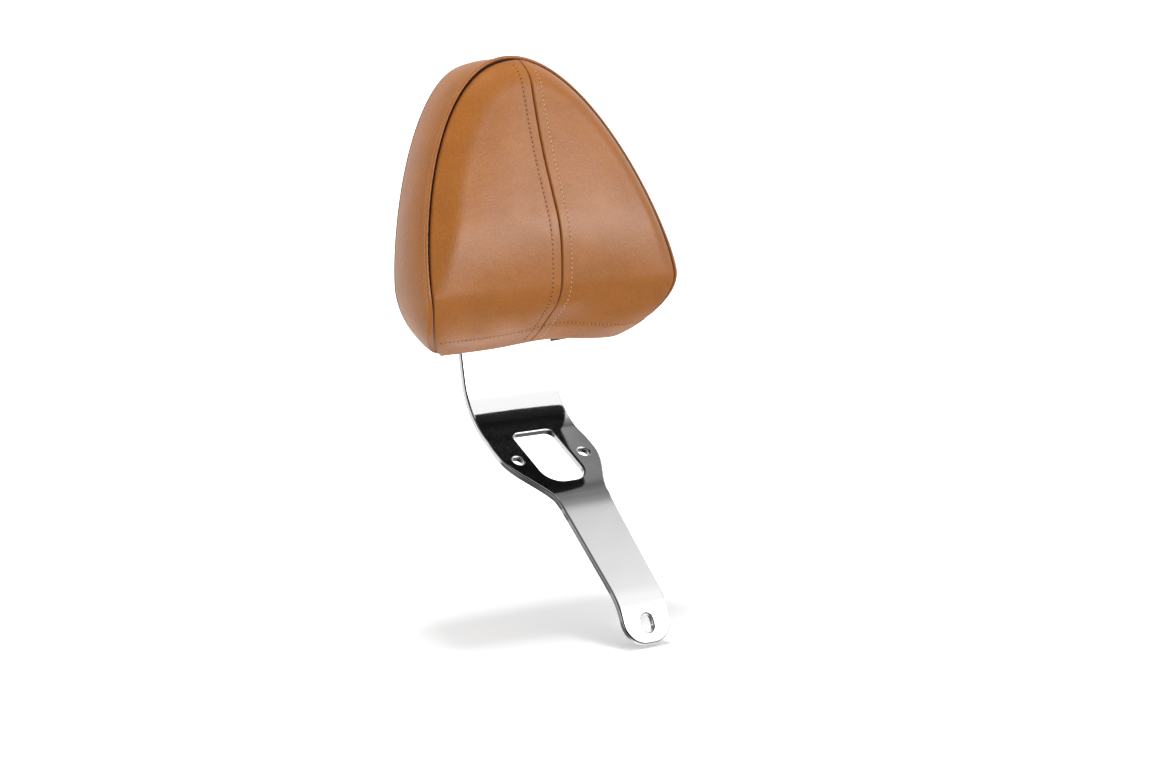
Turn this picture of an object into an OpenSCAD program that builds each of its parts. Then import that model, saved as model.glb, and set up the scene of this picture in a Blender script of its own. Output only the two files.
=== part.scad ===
/* [Plate] */
// Thickness of the steel plate
plate_t = 5; // [4:0.5:7]
// Width of the strap that goes up into the pad
strap_w = 80; // [70:1:90]
// Length of the strap above the first bend
strap_len = 150; // [146:1:160]
// Corner radius at the hidden top of the strap
strap_corner_r = 12; // [4:1:20]
// How far each ear stands out past the strap
ear_out = 1.1; // [0:0.1:4]
// Length of the ears, from the first bend to the start of the neck
ear_len = 21.5; // [18:0.5:26]
// Length of the neck curve from the ears into the arm
neck_len = 56; // [50:1:64]
// Length of the flat saddle, from the first bend to the second
saddle_len = 69.8; // [66:0.2:76]
// Width of the arm below the neck
arm_w = 44.2; // [40:0.2:50]
// Length of the flat arm
arm_len = 80.6; // [60:0.2:110]
// Width of the toe at the end of the arm
toe_w = 40.2; // [34:0.2:44]
// Length of the flat toe
toe_len = 19; // [18:0.5:30]
// Corner radius at the end of the toe
toe_corner_r = 17; // [6:0.5:17]

/* [Bends] */
// Backward lean of the strap and the pad, from upright
strap_lean = 11.4; // [5:0.1:20]
// Slope of the saddle, from upright
saddle_slope = 61; // [50:0.5:70]
// Slope of the arm, from upright
arm_slope = 47.8; // [40:0.1:48]
// Slope of the toe, from upright
toe_slope = 22.8; // [15:0.1:35]
// Radius of the wide bend between strap and saddle, on the face that looks forward
wide_bend_r = 57; // [30:1:80]
// Inner radius of the sharp bend between saddle and arm
sharp_bend_r = 7; // [4:0.5:12]
// Inner radius of the bend between arm and toe
toe_bend_r = 47.7; // [30:0.1:60]

/* [Holes] */
// Width of the window in the saddle
window_w = 35.6; // [24:0.2:40]
// Length of the window along the saddle
window_len = 55.6; // [40:0.2:58]
// How far the window's top edge reaches up into the wide bend
window_into_bend = 1.6; // [0:0.2:4]
// Radius of the window's two upper corners
window_top_r = 6; // [3:0.5:11]
// Radius of the window's two lower corners
window_low_r = 14; // [4:0.5:17]
// Diameter of the bolt hole in each ear
ear_hole_d = 8.7; // [6.6:0.1:10]
// Distance between the two ear holes
ear_hole_pitch = 57.2; // [52:0.2:60]
// How far the ear holes lie below the wide bend
ear_hole_down = 26.8; // [20:0.2:32]
// Width of the slot in the toe
slot_w = 9.9; // [6.6:0.1:12]
// Length of the slot in the toe, end to end
slot_len = 13.5; // [13:0.1:18]
// How far the slot's middle lies below the toe bend
slot_down = 4.6; // [4:0.1:8]

/* [Pad] */
// Greatest width of the pad, at the seam round its front
pad_w = 211.8; // [190:0.2:230]
// Height of the front from the hem to the crown, along the strap
pad_h = 203.8; // [190:0.2:220]
// How far the hem lies above the wide bend
hem_up = 20.4; // [10:0.2:30]
// Height of the widest place above the hem
wide_up = 40.8; // [36:0.2:42]
// Radius of the front's two lower corners
corner_r = 44; // [44:1:54]
// How far the front seam stands before the strap at the widest place
seam_depth = 71.2; // [64:0.2:80]
// How much nearer to the strap the front seam lies at the crown
seam_fall = 27; // [10:0.5:34]
// How far the front curls back to the strap at the hem
hem_curl = 42.4; // [36:0.1:46]
// How far the front swells past its seam
front_swell = 19.5; // [10:0.5:24]
// Width of the roll at the edge of the front
edge_roll = 31; // [15:0.5:40]
// Depth of the groove at the centre seam
groove_depth = 1.6; // [0.5:0.1:2.4]
// Width of the roll on each side of the centre seam
groove_w = 5; // [3:0.5:8]
// How far the back seam lies behind the front of the strap
back_depth = 12; // [10:0.5:16]
// How much nearer to the strap the back seam lies at the crown
back_fall = 5.6; // [0:0.2:7]
// How far the back panel swells past its seam
back_swell = 6; // [4:0.5:10]
// How much narrower each side is at the back seam than at the front one
back_taper = 24; // [15:0.5:28]
// How much higher the crown is at the back seam
back_rise = 3; // [0:0.1:8]
// How much higher the widest place is at the back seam
back_wide_rise = 9.2; // [4:0.1:10]
// How much larger the lower corners are at the back seam
back_corner_more = 10; // [10:0.5:20]
// Thickness of the leather
leather_t = 1.6; // [1.2:0.1:2]
// Gap in each seam and between the leather and the foam
seam_gap = 0.3; // [0.2:0.05:0.4]
// Width of the folded lip beside the front seam
lip_w = 7.6; // [5:0.2:10]
// How far the folded lip stands out from the side band
lip_out = 1; // [0.5:0.1:1.4]
// Height of the foam's lower face above the hem
foam_up = 3; // [2:0.5:6]

/* [Board and fasteners] */
// Thickness of the board that stiffens the pad
board_t = 9; // [9:0.5:12]
// Gap between the board's edge and the leather
board_gap = 0.6; // [0.3:0.1:3]
// Diameter of the bolts that hold the board on the strap
bolt_d = 6; // [5:0.5:6]
// Sideways distance between the bolts
bolt_pitch_x = 50; // [40:1:54]
// Distance between the bolts along the strap
bolt_pitch_y = 70; // [50:1:76]
// How far the upper bolts lie below the strap's top
bolt_down = 28; // [22:1:30]
// Diameter of the bolts' round heads
head_d = 11; // [10:0.5:12]
// Height of the bolts' round heads
head_h = 3.3; // [2.5:0.1:3.5]
// Width of the hexagon socket in the bolts' heads
socket_w = 4; // [3:0.5:4.5]
// Diameter of the washers
washer_d = 12.5; // [12:0.5:14]
// Thickness of the washers
washer_t = 1.6; // [1:0.1:1.6]
// Extra diameter of the holes that the bolts pass through
bolt_clear = 0.6; // [0.3:0.1:1]
// Play between bolt and tee nut, across the diameter
thread_clear = 0.1; // [0.05:0.05:0.2]
// Diameter of the tee nuts' flanges
tee_flange_d = 19; // [16:0.5:22]
// Thickness of the tee nuts' flanges
tee_flange_t = 1.2; // [1:0.1:1.5]
// Outer diameter of the tee nuts' barrels
tee_barrel_d = 7.8; // [7.4:0.1:8.6]
// Depth of the tee nuts from the flange's face
tee_len = 8; // [6:0.5:8.5]
// Length of the tee nuts' prongs
prong_len = 5; // [3:0.5:6]
// Width of the tee nuts' prongs
prong_w = 3; // [2:0.5:3.5]

/* [Hidden] */
$fn = 48;
// Columns and rows of the mesh on one half of a panel, and loops on the side of the foam
cols = 12;
rows = 16;
foam_steps = 4;
// Shares of the side band's depth with a row of its mesh: the lip's fold, then the plain band
band_depth = seam_depth + back_depth;
band_steps = concat([0, leather_t, lip_w, lip_w + leather_t] / band_depth, [0.28, 0.46, 0.64, 0.8, 0.91, 1]);
// Shares of the outline: its upper curve's power, and the angle where its side meets its top
crown_power = 1.34;
shoulder = 45;
// Power of the side band's inward curve
band_power = 1.46;
// Share of the swell that the edge roll makes, the broad crown making the rest
roll_share = 0.8;
// Swell of the front just above the hem
hem_swell = 1.5;
// Where the front's swell starts and is full, as shares of the pad's height
swell_low = 0.04;
swell_full = 0.45;
// Share of the ears' length over which they swell
ear_rise = 0.6;
// How far the cut beside the arm laps over the sharp bend
bend_lap = 1.2;
// Width of a bolt's head at its top, as a share of its width at the washer
head_top = 0.55;
// Thickness of the tee nuts' prongs
prong_t = 1.2;
// Height of the prongs' tips above the strap
prong_tip = board_t - tee_flange_t - prong_len;
// More than any cut is deep
through = 40;

// Side view: directions on a section at slope a from upright, as forward and up
function facing(a) = [cos(a), sin(a)];
function along(a) = [sin(a), -cos(a)];
// Radii of the bends on the face that looks forward
sharp_front_r = sharp_bend_r + plate_t;
toe_front_r = toe_bend_r + plate_t;
// Where each flat section starts on that face, from the strap's foot
saddle_start = wide_bend_r * (facing(strap_lean) - facing(saddle_slope));
saddle_end = saddle_start + saddle_len * along(saddle_slope);
arm_start = saddle_end - sharp_front_r * (facing(saddle_slope) - facing(arm_slope));
arm_end = arm_start + arm_len * along(arm_slope);
toe_start = arm_end - toe_front_r * (facing(arm_slope) - facing(toe_slope));
// The origin is the slot's middle on the toe's back face
origin = toe_start + slot_down * along(toe_slope) - plate_t * facing(toe_slope);

// Heights along the strap, from its foot
pad_bottom = hem_up;
foam_bottom = hem_up + foam_up;
foam_inset = leather_t + seam_gap;
sock_depth = head_h * 0.6;
bolt_under = plate_t + washer_t;
swell_range = swell_full - swell_low;

function mix(a, b, f) = a + (b - a) * f;
function smooth(f) = let (g = min(1, max(0, f))) g * g * (3 - 2 * g);
function reversed(list) = [for (i = [len(list) - 1:-1:0]) list[i]];

// Places children in a section's own frame: X across, Y up along it, Z out of its front face
module on_section(start, slope) {
    translate([0, origin[0] - start[0], start[1] - origin[1]])
        rotate([90 - slope, 0, 0])
            children();
}

// Places down the plate's front face in side view: forward, up and the slope there
function bend_stops(start, from, to, r, steps) = [for (i = [1:steps])
    let (a = mix(from, to, i / steps)) concat(start + r * (facing(from) - facing(a)), [a])];
stops = concat(
    [concat(-strap_len * along(strap_lean), [strap_lean]), [0, 0, strap_lean]],
    bend_stops([0, 0], strap_lean, saddle_slope, wide_bend_r, 16),
    [concat(saddle_end, [saddle_slope])],
    bend_stops(saddle_end, saddle_slope, arm_slope, -sharp_front_r, 4),
    [concat(arm_end, [arm_slope])],
    bend_stops(arm_end, arm_slope, toe_slope, -toe_front_r, 8),
    [concat(toe_start + toe_len * along(toe_slope), [toe_slope])]);

// The bent plate at its full width, before its outline is cut
module bent_strip() {
    front = [for (s = stops) [s[0], s[1]]];
    back = [for (s = stops) [s[0], s[1]] - plate_t * facing(s[2])];
    translate([0, origin[0], -origin[1]])
        rotate([90, 0, -90])
            linear_extrude(strap_w + 2 * ear_out, center = true)
                polygon(concat(front, reversed(back)));
}

// The window's outline from y = 0 down, with its upper and its lower corners rounded apart
module rounded_window() {
    half = window_w / 2;
    upper = [[-half, -window_top_r], [-half + window_top_r, 0], [half - window_top_r, 0],
        [half, -window_top_r]];
    lower = [[half, window_low_r - window_len], [half - window_low_r, -window_len],
        [window_low_r - half, -window_len], [-half, window_low_r - window_len]];
    polygon(concat(upper, lower));
    for (side = [-1, 1]) {
        translate([side * (half - window_top_r), -window_top_r])
            circle(window_top_r);
        translate([side * (half - window_low_r), window_low_r - window_len])
            circle(window_low_r);
    }
}

// Half the plate's width at a distance down the neck, which the sharp bend interrupts
function neck_half(d) =
    mix(strap_w / 2 + ear_out, arm_w / 2, (1 - cos(180 * min(1, max(0, d / neck_len)))) / 2);
neck_in_saddle = saddle_len - ear_len;
neck_in_arm = max(0, neck_len - neck_in_saddle);
bend_w = 2 * neck_half(neck_in_saddle);

// What lies outside the outline beside the strap, the wide bend and the saddle
module beside_saddle() {
    ear = [for (i = [0:4]) [strap_w / 2 + ear_out * smooth(i / 4), -i / 4 * ear_len * ear_rise]];
    neck = [for (i = [0:20]) [neck_half(i / 20 * neck_in_saddle), -ear_len - i / 20 * neck_in_saddle]];
    past = -saddle_len - sharp_front_r;
    polygon(concat([[strap_w / 2, strap_len * 2]], ear, neck,
        [[bend_w / 2, past], [strap_w, past], [strap_w, strap_len * 2]]));
}

// What lies outside the outline beside the arm and the toe
module beside_arm() {
    neck = [for (i = [0:5]) [neck_half(neck_in_saddle + i / 5 * neck_in_arm), -i / 5 * neck_in_arm]];
    past = -arm_len - toe_len - toe_front_r;
    polygon(concat([[bend_w / 2, bend_lap]], neck, [[toe_w / 2, -arm_len], [toe_w / 2, past],
        [strap_w, past], [strap_w, bend_lap]]));
}

// The corner that a round of radius r takes off, outside and below the origin
module outside_round(r) {
    difference() {
        translate([-r, -r])
            square(r + 1);
        translate([-r, -r])
            circle(r);
    }
}

module strap_holes() {
    for (x = [-1, 1], y = [0, 1])
        translate([x * bolt_pitch_x / 2, strap_len - bolt_down - y * bolt_pitch_y, 0])
            children();
}

module mounting_plate() {
    color("gainsboro")
        difference() {
            bent_strip();
            for (side = [0, 1])
                mirror([side, 0, 0]) {
                    on_section([0, 0], strap_lean)
                        translate([strap_w / 2, strap_len, -plate_t - 1])
                            linear_extrude(plate_t + 2)
                                outside_round(strap_corner_r);
                    on_section(saddle_start, saddle_slope)
                        translate([0, 0, -strap_len])
                            linear_extrude(strap_len * 3)
                                beside_saddle();
                    on_section(arm_start, arm_slope)
                        translate([0, 0, -toe_len * 2 - toe_front_r])
                            linear_extrude(toe_len * 4 + toe_front_r)
                                beside_arm();
                    on_section(toe_start, toe_slope)
                        translate([toe_w / 2, -toe_len, -plate_t - 1])
                            linear_extrude(plate_t + 2)
                                mirror([0, 1])
                                    outside_round(toe_corner_r);
                }
            on_section([0, 0], strap_lean)
                strap_holes()
                    cylinder(d = bolt_d + bolt_clear, h = through, center = true);
            on_section(saddle_start, saddle_slope) {
                translate([0, window_into_bend, 0])
                    linear_extrude(through, center = true)
                        rounded_window();
                for (side = [-1, 1])
                    translate([side * ear_hole_pitch / 2, -ear_hole_down, 0])
                        cylinder(d = ear_hole_d, h = through, center = true);
            }
            on_section(toe_start, toe_slope)
                translate([0, -slot_down, 0])
                    slot_cut();
        }
}

module slot_cut() {
    run = slot_len - slot_w;
    cube([slot_w, run, through], center = true);
    for (side = [-1, 1])
        translate([0, side * run / 2, 0])
            cylinder(d = slot_w, h = through, center = true);
}

// The pad's outline at a share v of the way from the front seam to the back seam, inset by d.
// Its angle a is below 0 in the lower corner, 0 at the widest place and 90 at the crown.
function out_half(v, d) = pad_w / 2 - back_taper * pow(v, band_power) - d;
function out_wide(v) = pad_bottom + wide_up + back_wide_rise * v;
function out_top(v, d) = pad_bottom + pad_h + back_rise * v - d;
function out_corner(v, d) = corner_r + back_corner_more * v - d;
function out_low(v, d, cut) = -asin((out_wide(v) - cut) / out_corner(v, d));
function outline(v, d, a) = a < 0
    ? [out_half(v, d) - out_corner(v, d) * (1 - cos(a)), out_wide(v) + out_corner(v, d) * sin(a)]
    : [out_half(v, d) * cos(a), out_wide(v) + (out_top(v, d) - out_wide(v)) * pow(sin(a), crown_power)];

// How far the front seam stands before the strap at height t, and its slope there
function seam_at(t) = let (y = t - out_wide(0))
    y < 0 ? seam_depth - hem_curl * pow(y / wide_up, 2) : seam_depth - seam_fall * y / (pad_h - wide_up);
// The same for the back seam, which lies behind the strap, inset by d
function back_at(t, d) = let (y = max(0, t - out_wide(1)))
    d - back_depth + back_fall * y / (out_top(1, 0) - out_wide(1));
function seam_slope(t) = let (y = t - out_wide(0))
    y < 0 ? -2 * hem_curl * y / (wide_up * wide_up) : 0;

// How a panel swells inside its outline: a roll at the edge and a broad crown, from 0 to 1
function swell(x, t, v, d) = let (
    half = out_half(v, d),
    y = max(0, t - out_wide(v)),
    high = out_top(v, d) - out_wide(v),
    low = min(0, t - out_wide(v)) / out_corner(v, d),
    width = half - out_corner(v, d) * (1 - sqrt(max(0, 1 - low * low))),
    inside = max(0, 1 - pow(x / width, 2) - pow(y / high, 2 / crown_power)),
    steep = norm([2 * x / (width * width), 2 / crown_power * pow(y / high, 2 / crown_power - 1) / high]),
    from_edge = inside / max(steep, 0.001),
    roll = sqrt(1 - pow(1 - min(1, from_edge / edge_roll), 2)))
    roll_share * roll + (1 - roll_share) * sqrt(inside);

// The front's surface, inset by d and lifted off the seam, as a point in the strap's frame
function front_point(p, d, lift) = let (
    share = (p[1] - pad_bottom) / pad_h,
    full = front_swell * smooth((share - swell_low) / swell_range),
    pillow = hem_swell * smooth(share / swell_low),
    dip = groove_depth * pow(max(0, 1 - abs(p[0]) / groove_w), 2))
    [p[0], p[1], seam_at(p[1]) + (lift - d) * norm([1, seam_slope(p[1])])
        + (full + pillow) * swell(p[0], p[1], 0, d) - dip];

// The back's surface, inset by d
function back_point(p, d) = let (
    share = (p[1] - pad_bottom) / pad_h,
    full = back_swell * smooth(share / swell_full))
    [p[0], p[1], back_at(p[1], d) - full * swell(p[0], p[1], 1, d)];

// Angle on the outline at a step w: 0 at the hem, 1 at the shoulder and 2 at the crown
function step_angle(w, low) = w < 1 ? mix(low, shoulder, w) : mix(shoulder, 90, w - 1);

// A place on the half panel: f across from the centre to the side, g up from the hem to the crown
function panel_place(v, d, cut, gap, f, g) = let (
    low = out_low(v, d, cut),
    side = outline(v, d, step_angle(g, low)),
    top = outline(v, d, step_angle(2 - f, low)) + [gap * (1 - f), 0],
    foot_side = outline(v, d, low),
    foot = [mix(gap, foot_side[0], f), cut],
    middle = [gap, mix(cut, out_top(v, d), g)],
    corner = outline(v, d, shoulder),
    crown = [gap, out_top(v, d)])
    (1 - g) * foot + g * top + (1 - f) * middle + f * side
        - (1 - f) * (1 - g) * [gap, cut] - f * (1 - g) * foot_side
        - (1 - f) * g * crown - f * g * corner;

// Shares across and up a panel, closer together at the centre seam and at the edges
function across(j) = j < 3 ? [0, 0.018, 0.045][j] : sin(90 * (j - 2) / (cols - 2));
function upward(i) = (1 - cos(180 * i / rows)) / 2;
function half_grid(v, d, cut, gap) =
    [for (i = [0:rows]) [for (j = [0:cols]) panel_place(v, d, cut, gap, across(j), upward(i))]];
function whole_grid(v, d, cut) = [for (row = half_grid(v, d, cut, 0))
    concat([for (j = [cols:-1:1]) [-row[j][0], row[j][1]]], row)];

// Steps of the outline that fall on a panel's own edge points
edge_steps = concat([for (i = [0:rows]) upward(i)], [for (j = [cols - 1:-1:0]) 2 - across(j)]);
all_edge = concat([for (w = edge_steps) [1, w]],
    [for (i = [len(edge_steps) - 2:-1:0]) [-1, edge_steps[i]]]);

// Depths of the front seam and of the back seam at an edge step, inset by d
function front_edge(e, d, cut) = let (t = outline(0, d, step_angle(e[1], out_low(0, d, cut)))[1])
    seam_at(t) - d * norm([1, seam_slope(t)]);
function back_edge(e, d, cut) = back_at(outline(1, d, step_angle(e[1], out_low(1, d, cut)))[1], d);
// A point of the side band: its edge step, its share v to the back, inset by d, raised by out
function band_point(e, v, d, out, cut) = let (
    p = outline(v, d - out, step_angle(e[1], out_low(v, d - out, cut))))
    [e[0] * p[0], p[1], mix(front_edge(e, d, cut), back_edge(e, d, cut), v)];
// The share v at which the band comes to a depth before the strap
function share_at(e, d, cut, depth) =
    (front_edge(e, d, cut) - depth) / (front_edge(e, d, cut) - back_edge(e, d, cut));

function grid_quads(m, n, base, turned) = [for (i = [0:m - 2], j = [0:n - 2], half = [0, 1])
    let (a = base + i * n + j, tri = half == 0 ? [a, a + n, a + n + 1] : [a, a + n + 1, a + 1])
    turned ? reversed(tri) : tri];
function grid_loop(m, n) = concat([for (j = [0:n - 1]) j], [for (i = [1:m - 1]) i * n + n - 1],
    [for (j = [n - 2:-1:0]) (m - 1) * n + j], [for (i = [m - 2:-1:1]) i * n]);
function joined(one, two) = [for (k = [0:len(one) - 1], half = [0, 1])
    let (next = (k + 1) % len(one))
    half == 0 ? [one[k], one[next], two[next]] : [one[k], two[next], two[k]]];
function flat(lists) = [for (list = lists) for (item = list) item];

// A sheet closed between its outer and its inner grid
module sheet(outer, inner, turned) {
    m = len(outer);
    n = len(outer[0]);
    edge = grid_loop(m, n);
    rim = joined(edge, [for (k = edge) k + m * n]);
    faces = concat(grid_quads(m, n, 0, turned), grid_quads(m, n, m * n, !turned),
        [for (f = rim) turned ? reversed(f) : f]);
    polyhedron(concat(flat(outer), flat(inner)), faces, convexity = 6);
}

// A solid under a grid: loops carry its edge back to a flat face, which fans out from its middle
module bun(grid, loops, turned) {
    m = len(grid);
    n = len(grid[0]);
    count = len(loops[0]);
    starts = [for (k = [0:len(loops) - 1]) m * n + k * count];
    rings = concat([grid_loop(m, n)], [for (s = starts) [for (i = [0:count - 1]) s + i]]);
    walls = flat([for (k = [0:len(loops) - 1]) joined(rings[k], rings[k + 1])]);
    last = rings[len(loops)];
    last_loop = loops[len(loops) - 1];
    middle = [0, (pad_bottom + out_top(0, 0)) / 2, last_loop[0][2]];
    hub = m * n + count * len(loops);
    fan = [for (i = [0:count - 1]) [last[i], last[(i + 1) % count], hub]];
    faces = concat(grid_quads(m, n, 0, turned), [for (f = concat(walls, fan)) turned ? reversed(f) : f]);
    polyhedron(concat(flat(grid), flat(loops), [middle]), faces, convexity = 6);
}

// The loop round the pad at a depth share, in the order of a grid's edge: hem, right, crown, left
function bun_loop(part_way, depth, from_front, cut) = let (
    reach = [for (e = all_edge) let (stop = share_at(e, foam_inset, cut, depth))
        from_front ? stop * part_way : mix(1, stop, part_way)],
    ring = [for (k = [0:len(all_edge) - 1]) band_point(all_edge[k], reach[k], foam_inset, 0, cut)],
    right = ring[0],
    hem = [for (j = [1:2 * cols - 1])
        let (f = j <= cols ? -across(cols - j) : across(j - cols)) [f * right[0], cut, right[2]]],
    left = ring[len(ring) - 1])
    concat([left], hem, [for (k = [0:len(ring) - 2]) ring[k]]);

module in_pad() {
    on_section([0, 0], strap_lean)
        children();
}

module front_foam() {
    grid = [for (row = whole_grid(0, foam_inset, foam_bottom))
        [for (p = row) front_point(p, foam_inset, 0)]];
    loops = [for (k = [1:foam_steps]) bun_loop(k / foam_steps, board_t, true, foam_bottom)];
    color("dimgray")
        in_pad()
            bun(grid, loops, false);
}

module back_foam() {
    grid = [for (row = whole_grid(1, foam_inset, foam_bottom))
        [for (p = row) back_point(p, foam_inset)]];
    loops = [for (k = [1:2]) bun_loop(k / 2, 0, false, foam_bottom)];
    color("dimgray")
        in_pad()
            difference() {
                bun(grid, loops, true);
                translate([-strap_w / 2 - seam_gap, 0, -plate_t - seam_gap])
                    cube([strap_w + 2 * seam_gap, strap_len + seam_gap, plate_t + 1]);
                strap_holes()
                    translate([0, 0, -bolt_under - head_h - seam_gap])
                        cylinder(d = washer_d + 2 * seam_gap, h = bolt_under + head_h);
            }
}

module front_panel(side) {
    outer = [for (row = half_grid(0, 0, pad_bottom, seam_gap / 2))
        [for (p = row) front_point(p, 0, seam_gap)]];
    inner = [for (row = half_grid(0, leather_t, pad_bottom, seam_gap / 2))
        [for (p = row) front_point(p, leather_t, seam_gap)]];
    color("peru")
        in_pad()
            mirror([side < 0 ? 1 : 0, 0, 0])
                sheet(outer, inner, false);
}

module cover_front_left() {
    front_panel(-1);
}

module cover_front_right() {
    front_panel(1);
}

module cover_side_band() {
    // The folded lip stands out on the second and the third row
    outer = [for (k = [0:len(band_steps) - 1]) let (out = k == 1 || k == 2 ? lip_out : 0)
        [for (e = all_edge) band_point(e, band_steps[k], 0, out, pad_bottom)]];
    inner = [for (v = band_steps) [for (e = all_edge) band_point(e, v, leather_t, 0, pad_bottom)]];
    color("peru")
        in_pad()
            sheet(outer, inner, true);
}

module cover_back_panel() {
    outer = [for (row = whole_grid(1, 0, pad_bottom))
        [for (p = row) back_point(p, 0) - [0, 0, seam_gap]]];
    inner = [for (row = whole_grid(1, leather_t, pad_bottom))
        [for (p = row) back_point(p, leather_t) - [0, 0, seam_gap]]];
    color("sienna")
        in_pad()
            sheet(outer, inner, true);
}

module back_board() {
    inset = leather_t + board_gap;
    side = [for (w = edge_steps)
        let (e = [1, w], p = band_point(e, share_at(e, inset, foam_bottom, 0), inset, 0, foam_bottom))
        [p[0], p[1]]];
    color("burlywood")
        in_pad()
            difference() {
                linear_extrude(board_t)
                    polygon(concat(side, [for (k = [len(side) - 2:-1:0]) [-side[k][0], side[k][1]]]));
                strap_holes() {
                    cylinder(d = tee_barrel_d, h = through, center = true);
                    translate([0, 0, board_t - tee_flange_t])
                        cylinder(d = tee_flange_d + seam_gap, h = through);
                    prongs();
                }
            }
}

// The four prongs of a tee nut, which the board's wood closes on
module prongs() {
    for (turn = [45:90:315])
        rotate([0, 0, turn])
            translate([tee_flange_d / 2 - prong_t - seam_gap, -prong_w / 2, prong_tip])
                cube([prong_t, prong_w, prong_len + tee_flange_t / 2]);
}

module plate_bolts() {
    color("silver")
        in_pad()
            strap_holes()
                difference() {
                    union() {
                        translate([0, 0, -bolt_under])
                            cylinder(d = bolt_d, h = bolt_under + board_t);
                        translate([0, 0, -bolt_under - head_h])
                            cylinder(d1 = head_d * head_top, d2 = head_d, h = head_h);
                    }
                    translate([0, 0, -bolt_under - head_h - 1])
                        cylinder(d = socket_w / cos(30), h = sock_depth + 1, $fn = 6);
                }
}

module plate_washers() {
    color("silver")
        in_pad()
            strap_holes()
                translate([0, 0, -bolt_under])
                    difference() {
                        cylinder(d = washer_d, h = washer_t);
                        cylinder(d = bolt_d + bolt_clear, h = through, center = true);
                    }
}

module tee_nuts() {
    color("goldenrod")
        in_pad()
            strap_holes()
                difference() {
                    union() {
                        translate([0, 0, board_t - tee_flange_t])
                            cylinder(d = tee_flange_d, h = tee_flange_t);
                        translate([0, 0, board_t - tee_len])
                            cylinder(d = tee_barrel_d, h = tee_len);
                        prongs();
                    }
                    cylinder(d = bolt_d + thread_clear, h = through, center = true);
                }
}

mounting_plate();
back_board();
front_foam();
back_foam();
cover_front_left();
cover_front_right();
cover_side_band();
cover_back_panel();
plate_bolts();
plate_washers();
tee_nuts();
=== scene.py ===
import math

import bpy
import numpy as np
from mathutils import Matrix, Vector, geometry


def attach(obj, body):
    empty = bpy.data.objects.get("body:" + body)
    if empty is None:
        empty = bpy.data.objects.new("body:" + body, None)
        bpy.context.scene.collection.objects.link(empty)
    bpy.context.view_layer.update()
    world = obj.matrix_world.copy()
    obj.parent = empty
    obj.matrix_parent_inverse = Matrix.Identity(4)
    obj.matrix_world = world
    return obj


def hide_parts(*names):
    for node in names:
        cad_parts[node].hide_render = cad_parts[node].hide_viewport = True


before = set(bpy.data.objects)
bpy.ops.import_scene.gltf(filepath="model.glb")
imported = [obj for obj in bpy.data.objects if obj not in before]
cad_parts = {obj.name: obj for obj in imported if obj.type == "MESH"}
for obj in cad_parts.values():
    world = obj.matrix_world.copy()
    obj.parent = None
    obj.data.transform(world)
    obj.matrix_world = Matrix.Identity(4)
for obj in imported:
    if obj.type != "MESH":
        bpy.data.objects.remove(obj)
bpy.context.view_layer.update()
mm = 0.001


# Helpers for meshes, colours and nodes

def linearColor(hexText):  # sRGB hex to linear: c/12.92 near black, else ((c + 0.055)/1.055)^2.4
    parts = np.array([int(hexText[i:i + 2], 16) for i in (1, 3, 5)]) / 255
    linear = np.where(parts <= 0.04045, parts / 12.92, ((parts + 0.055) / 1.055) ** 2.4)
    return (*linear.tolist(), 1.0)


def addNode(tree, kind, inputs=None, **settings):  # a node given as an input stands for its first output
    node = tree.nodes.new("ShaderNode" + kind)
    for name, value in settings.items():
        setattr(node, name, value)
    for socket, value in (inputs or {}).items():
        if isinstance(value, bpy.types.Node):
            value = next(out for out in value.outputs if out.enabled)
        if isinstance(value, bpy.types.NodeSocket):
            tree.links.new(value, node.inputs[socket])
        else:
            node.inputs[socket].default_value = value
    return node


def newMaterial(name):  # the material, its empty tree and the place on the object
    material = bpy.data.materials.new(name)
    material.use_nodes = True
    tree = material.node_tree
    tree.nodes.clear()
    return material, tree, addNode(tree, "TexCoord").outputs["Object"]


def finished(material, shader):
    addNode(material.node_tree, "OutputMaterial", {"Surface": shader})
    return material


def marks(place, size, **more):  # a texture's inputs, scaled to the size of one mark in mm
    return {"Vector": place, "Scale": 1 / (size * mm), **more}


def smoothStep(f):  # 3f^2 - 2f^3 between 0 and 1
    g = np.clip(f, 0, 1)
    return g * g * (3 - 2 * g)


def gridQuads(rows, cols):  # one quad for each cell of a grid of rows x cols points
    i = np.arange(rows * cols).reshape(rows, cols)
    return np.stack([i[:-1, :-1], i[:-1, 1:], i[1:, 1:], i[1:, :-1]], -1).reshape(-1, 4)


def addObject(name, data):
    made = bpy.data.objects.new(name, data)
    bpy.context.scene.collection.objects.link(made)
    return made


def makePiece(name, points, faces, material, normals=None, seam=None):
    mesh = bpy.data.meshes.new(name)
    mesh.from_pydata((points * mm).tolist(), [], faces if isinstance(faces, list) else faces.tolist())
    mesh.polygons.foreach_set("use_smooth", np.ones(len(mesh.polygons), bool))
    if normals is not None:
        mesh.normals_split_custom_set_from_vertices(normals.tolist())
    if seam is not None:   # 0 on the open leather, 1 deep in a seam: the share of painted shade there
        mesh.attributes.new("seamDepth", "FLOAT", "POINT").data.foreach_set("value", seam.ravel())
    mesh.materials.append(material)
    mesh.update()
    piece = addObject(name, mesh)
    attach(piece, "root")
    return piece


# Materials

chromeLook = dict(
    tint="#F0F0F0", roughLow=0.03, roughHigh=0.075,
    waveSize=35.0, waveHeight=0.6,     # mm, what the polishing wheel leaves
    hazeSize=4.0,                      # mm across a patch of haze
)


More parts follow.
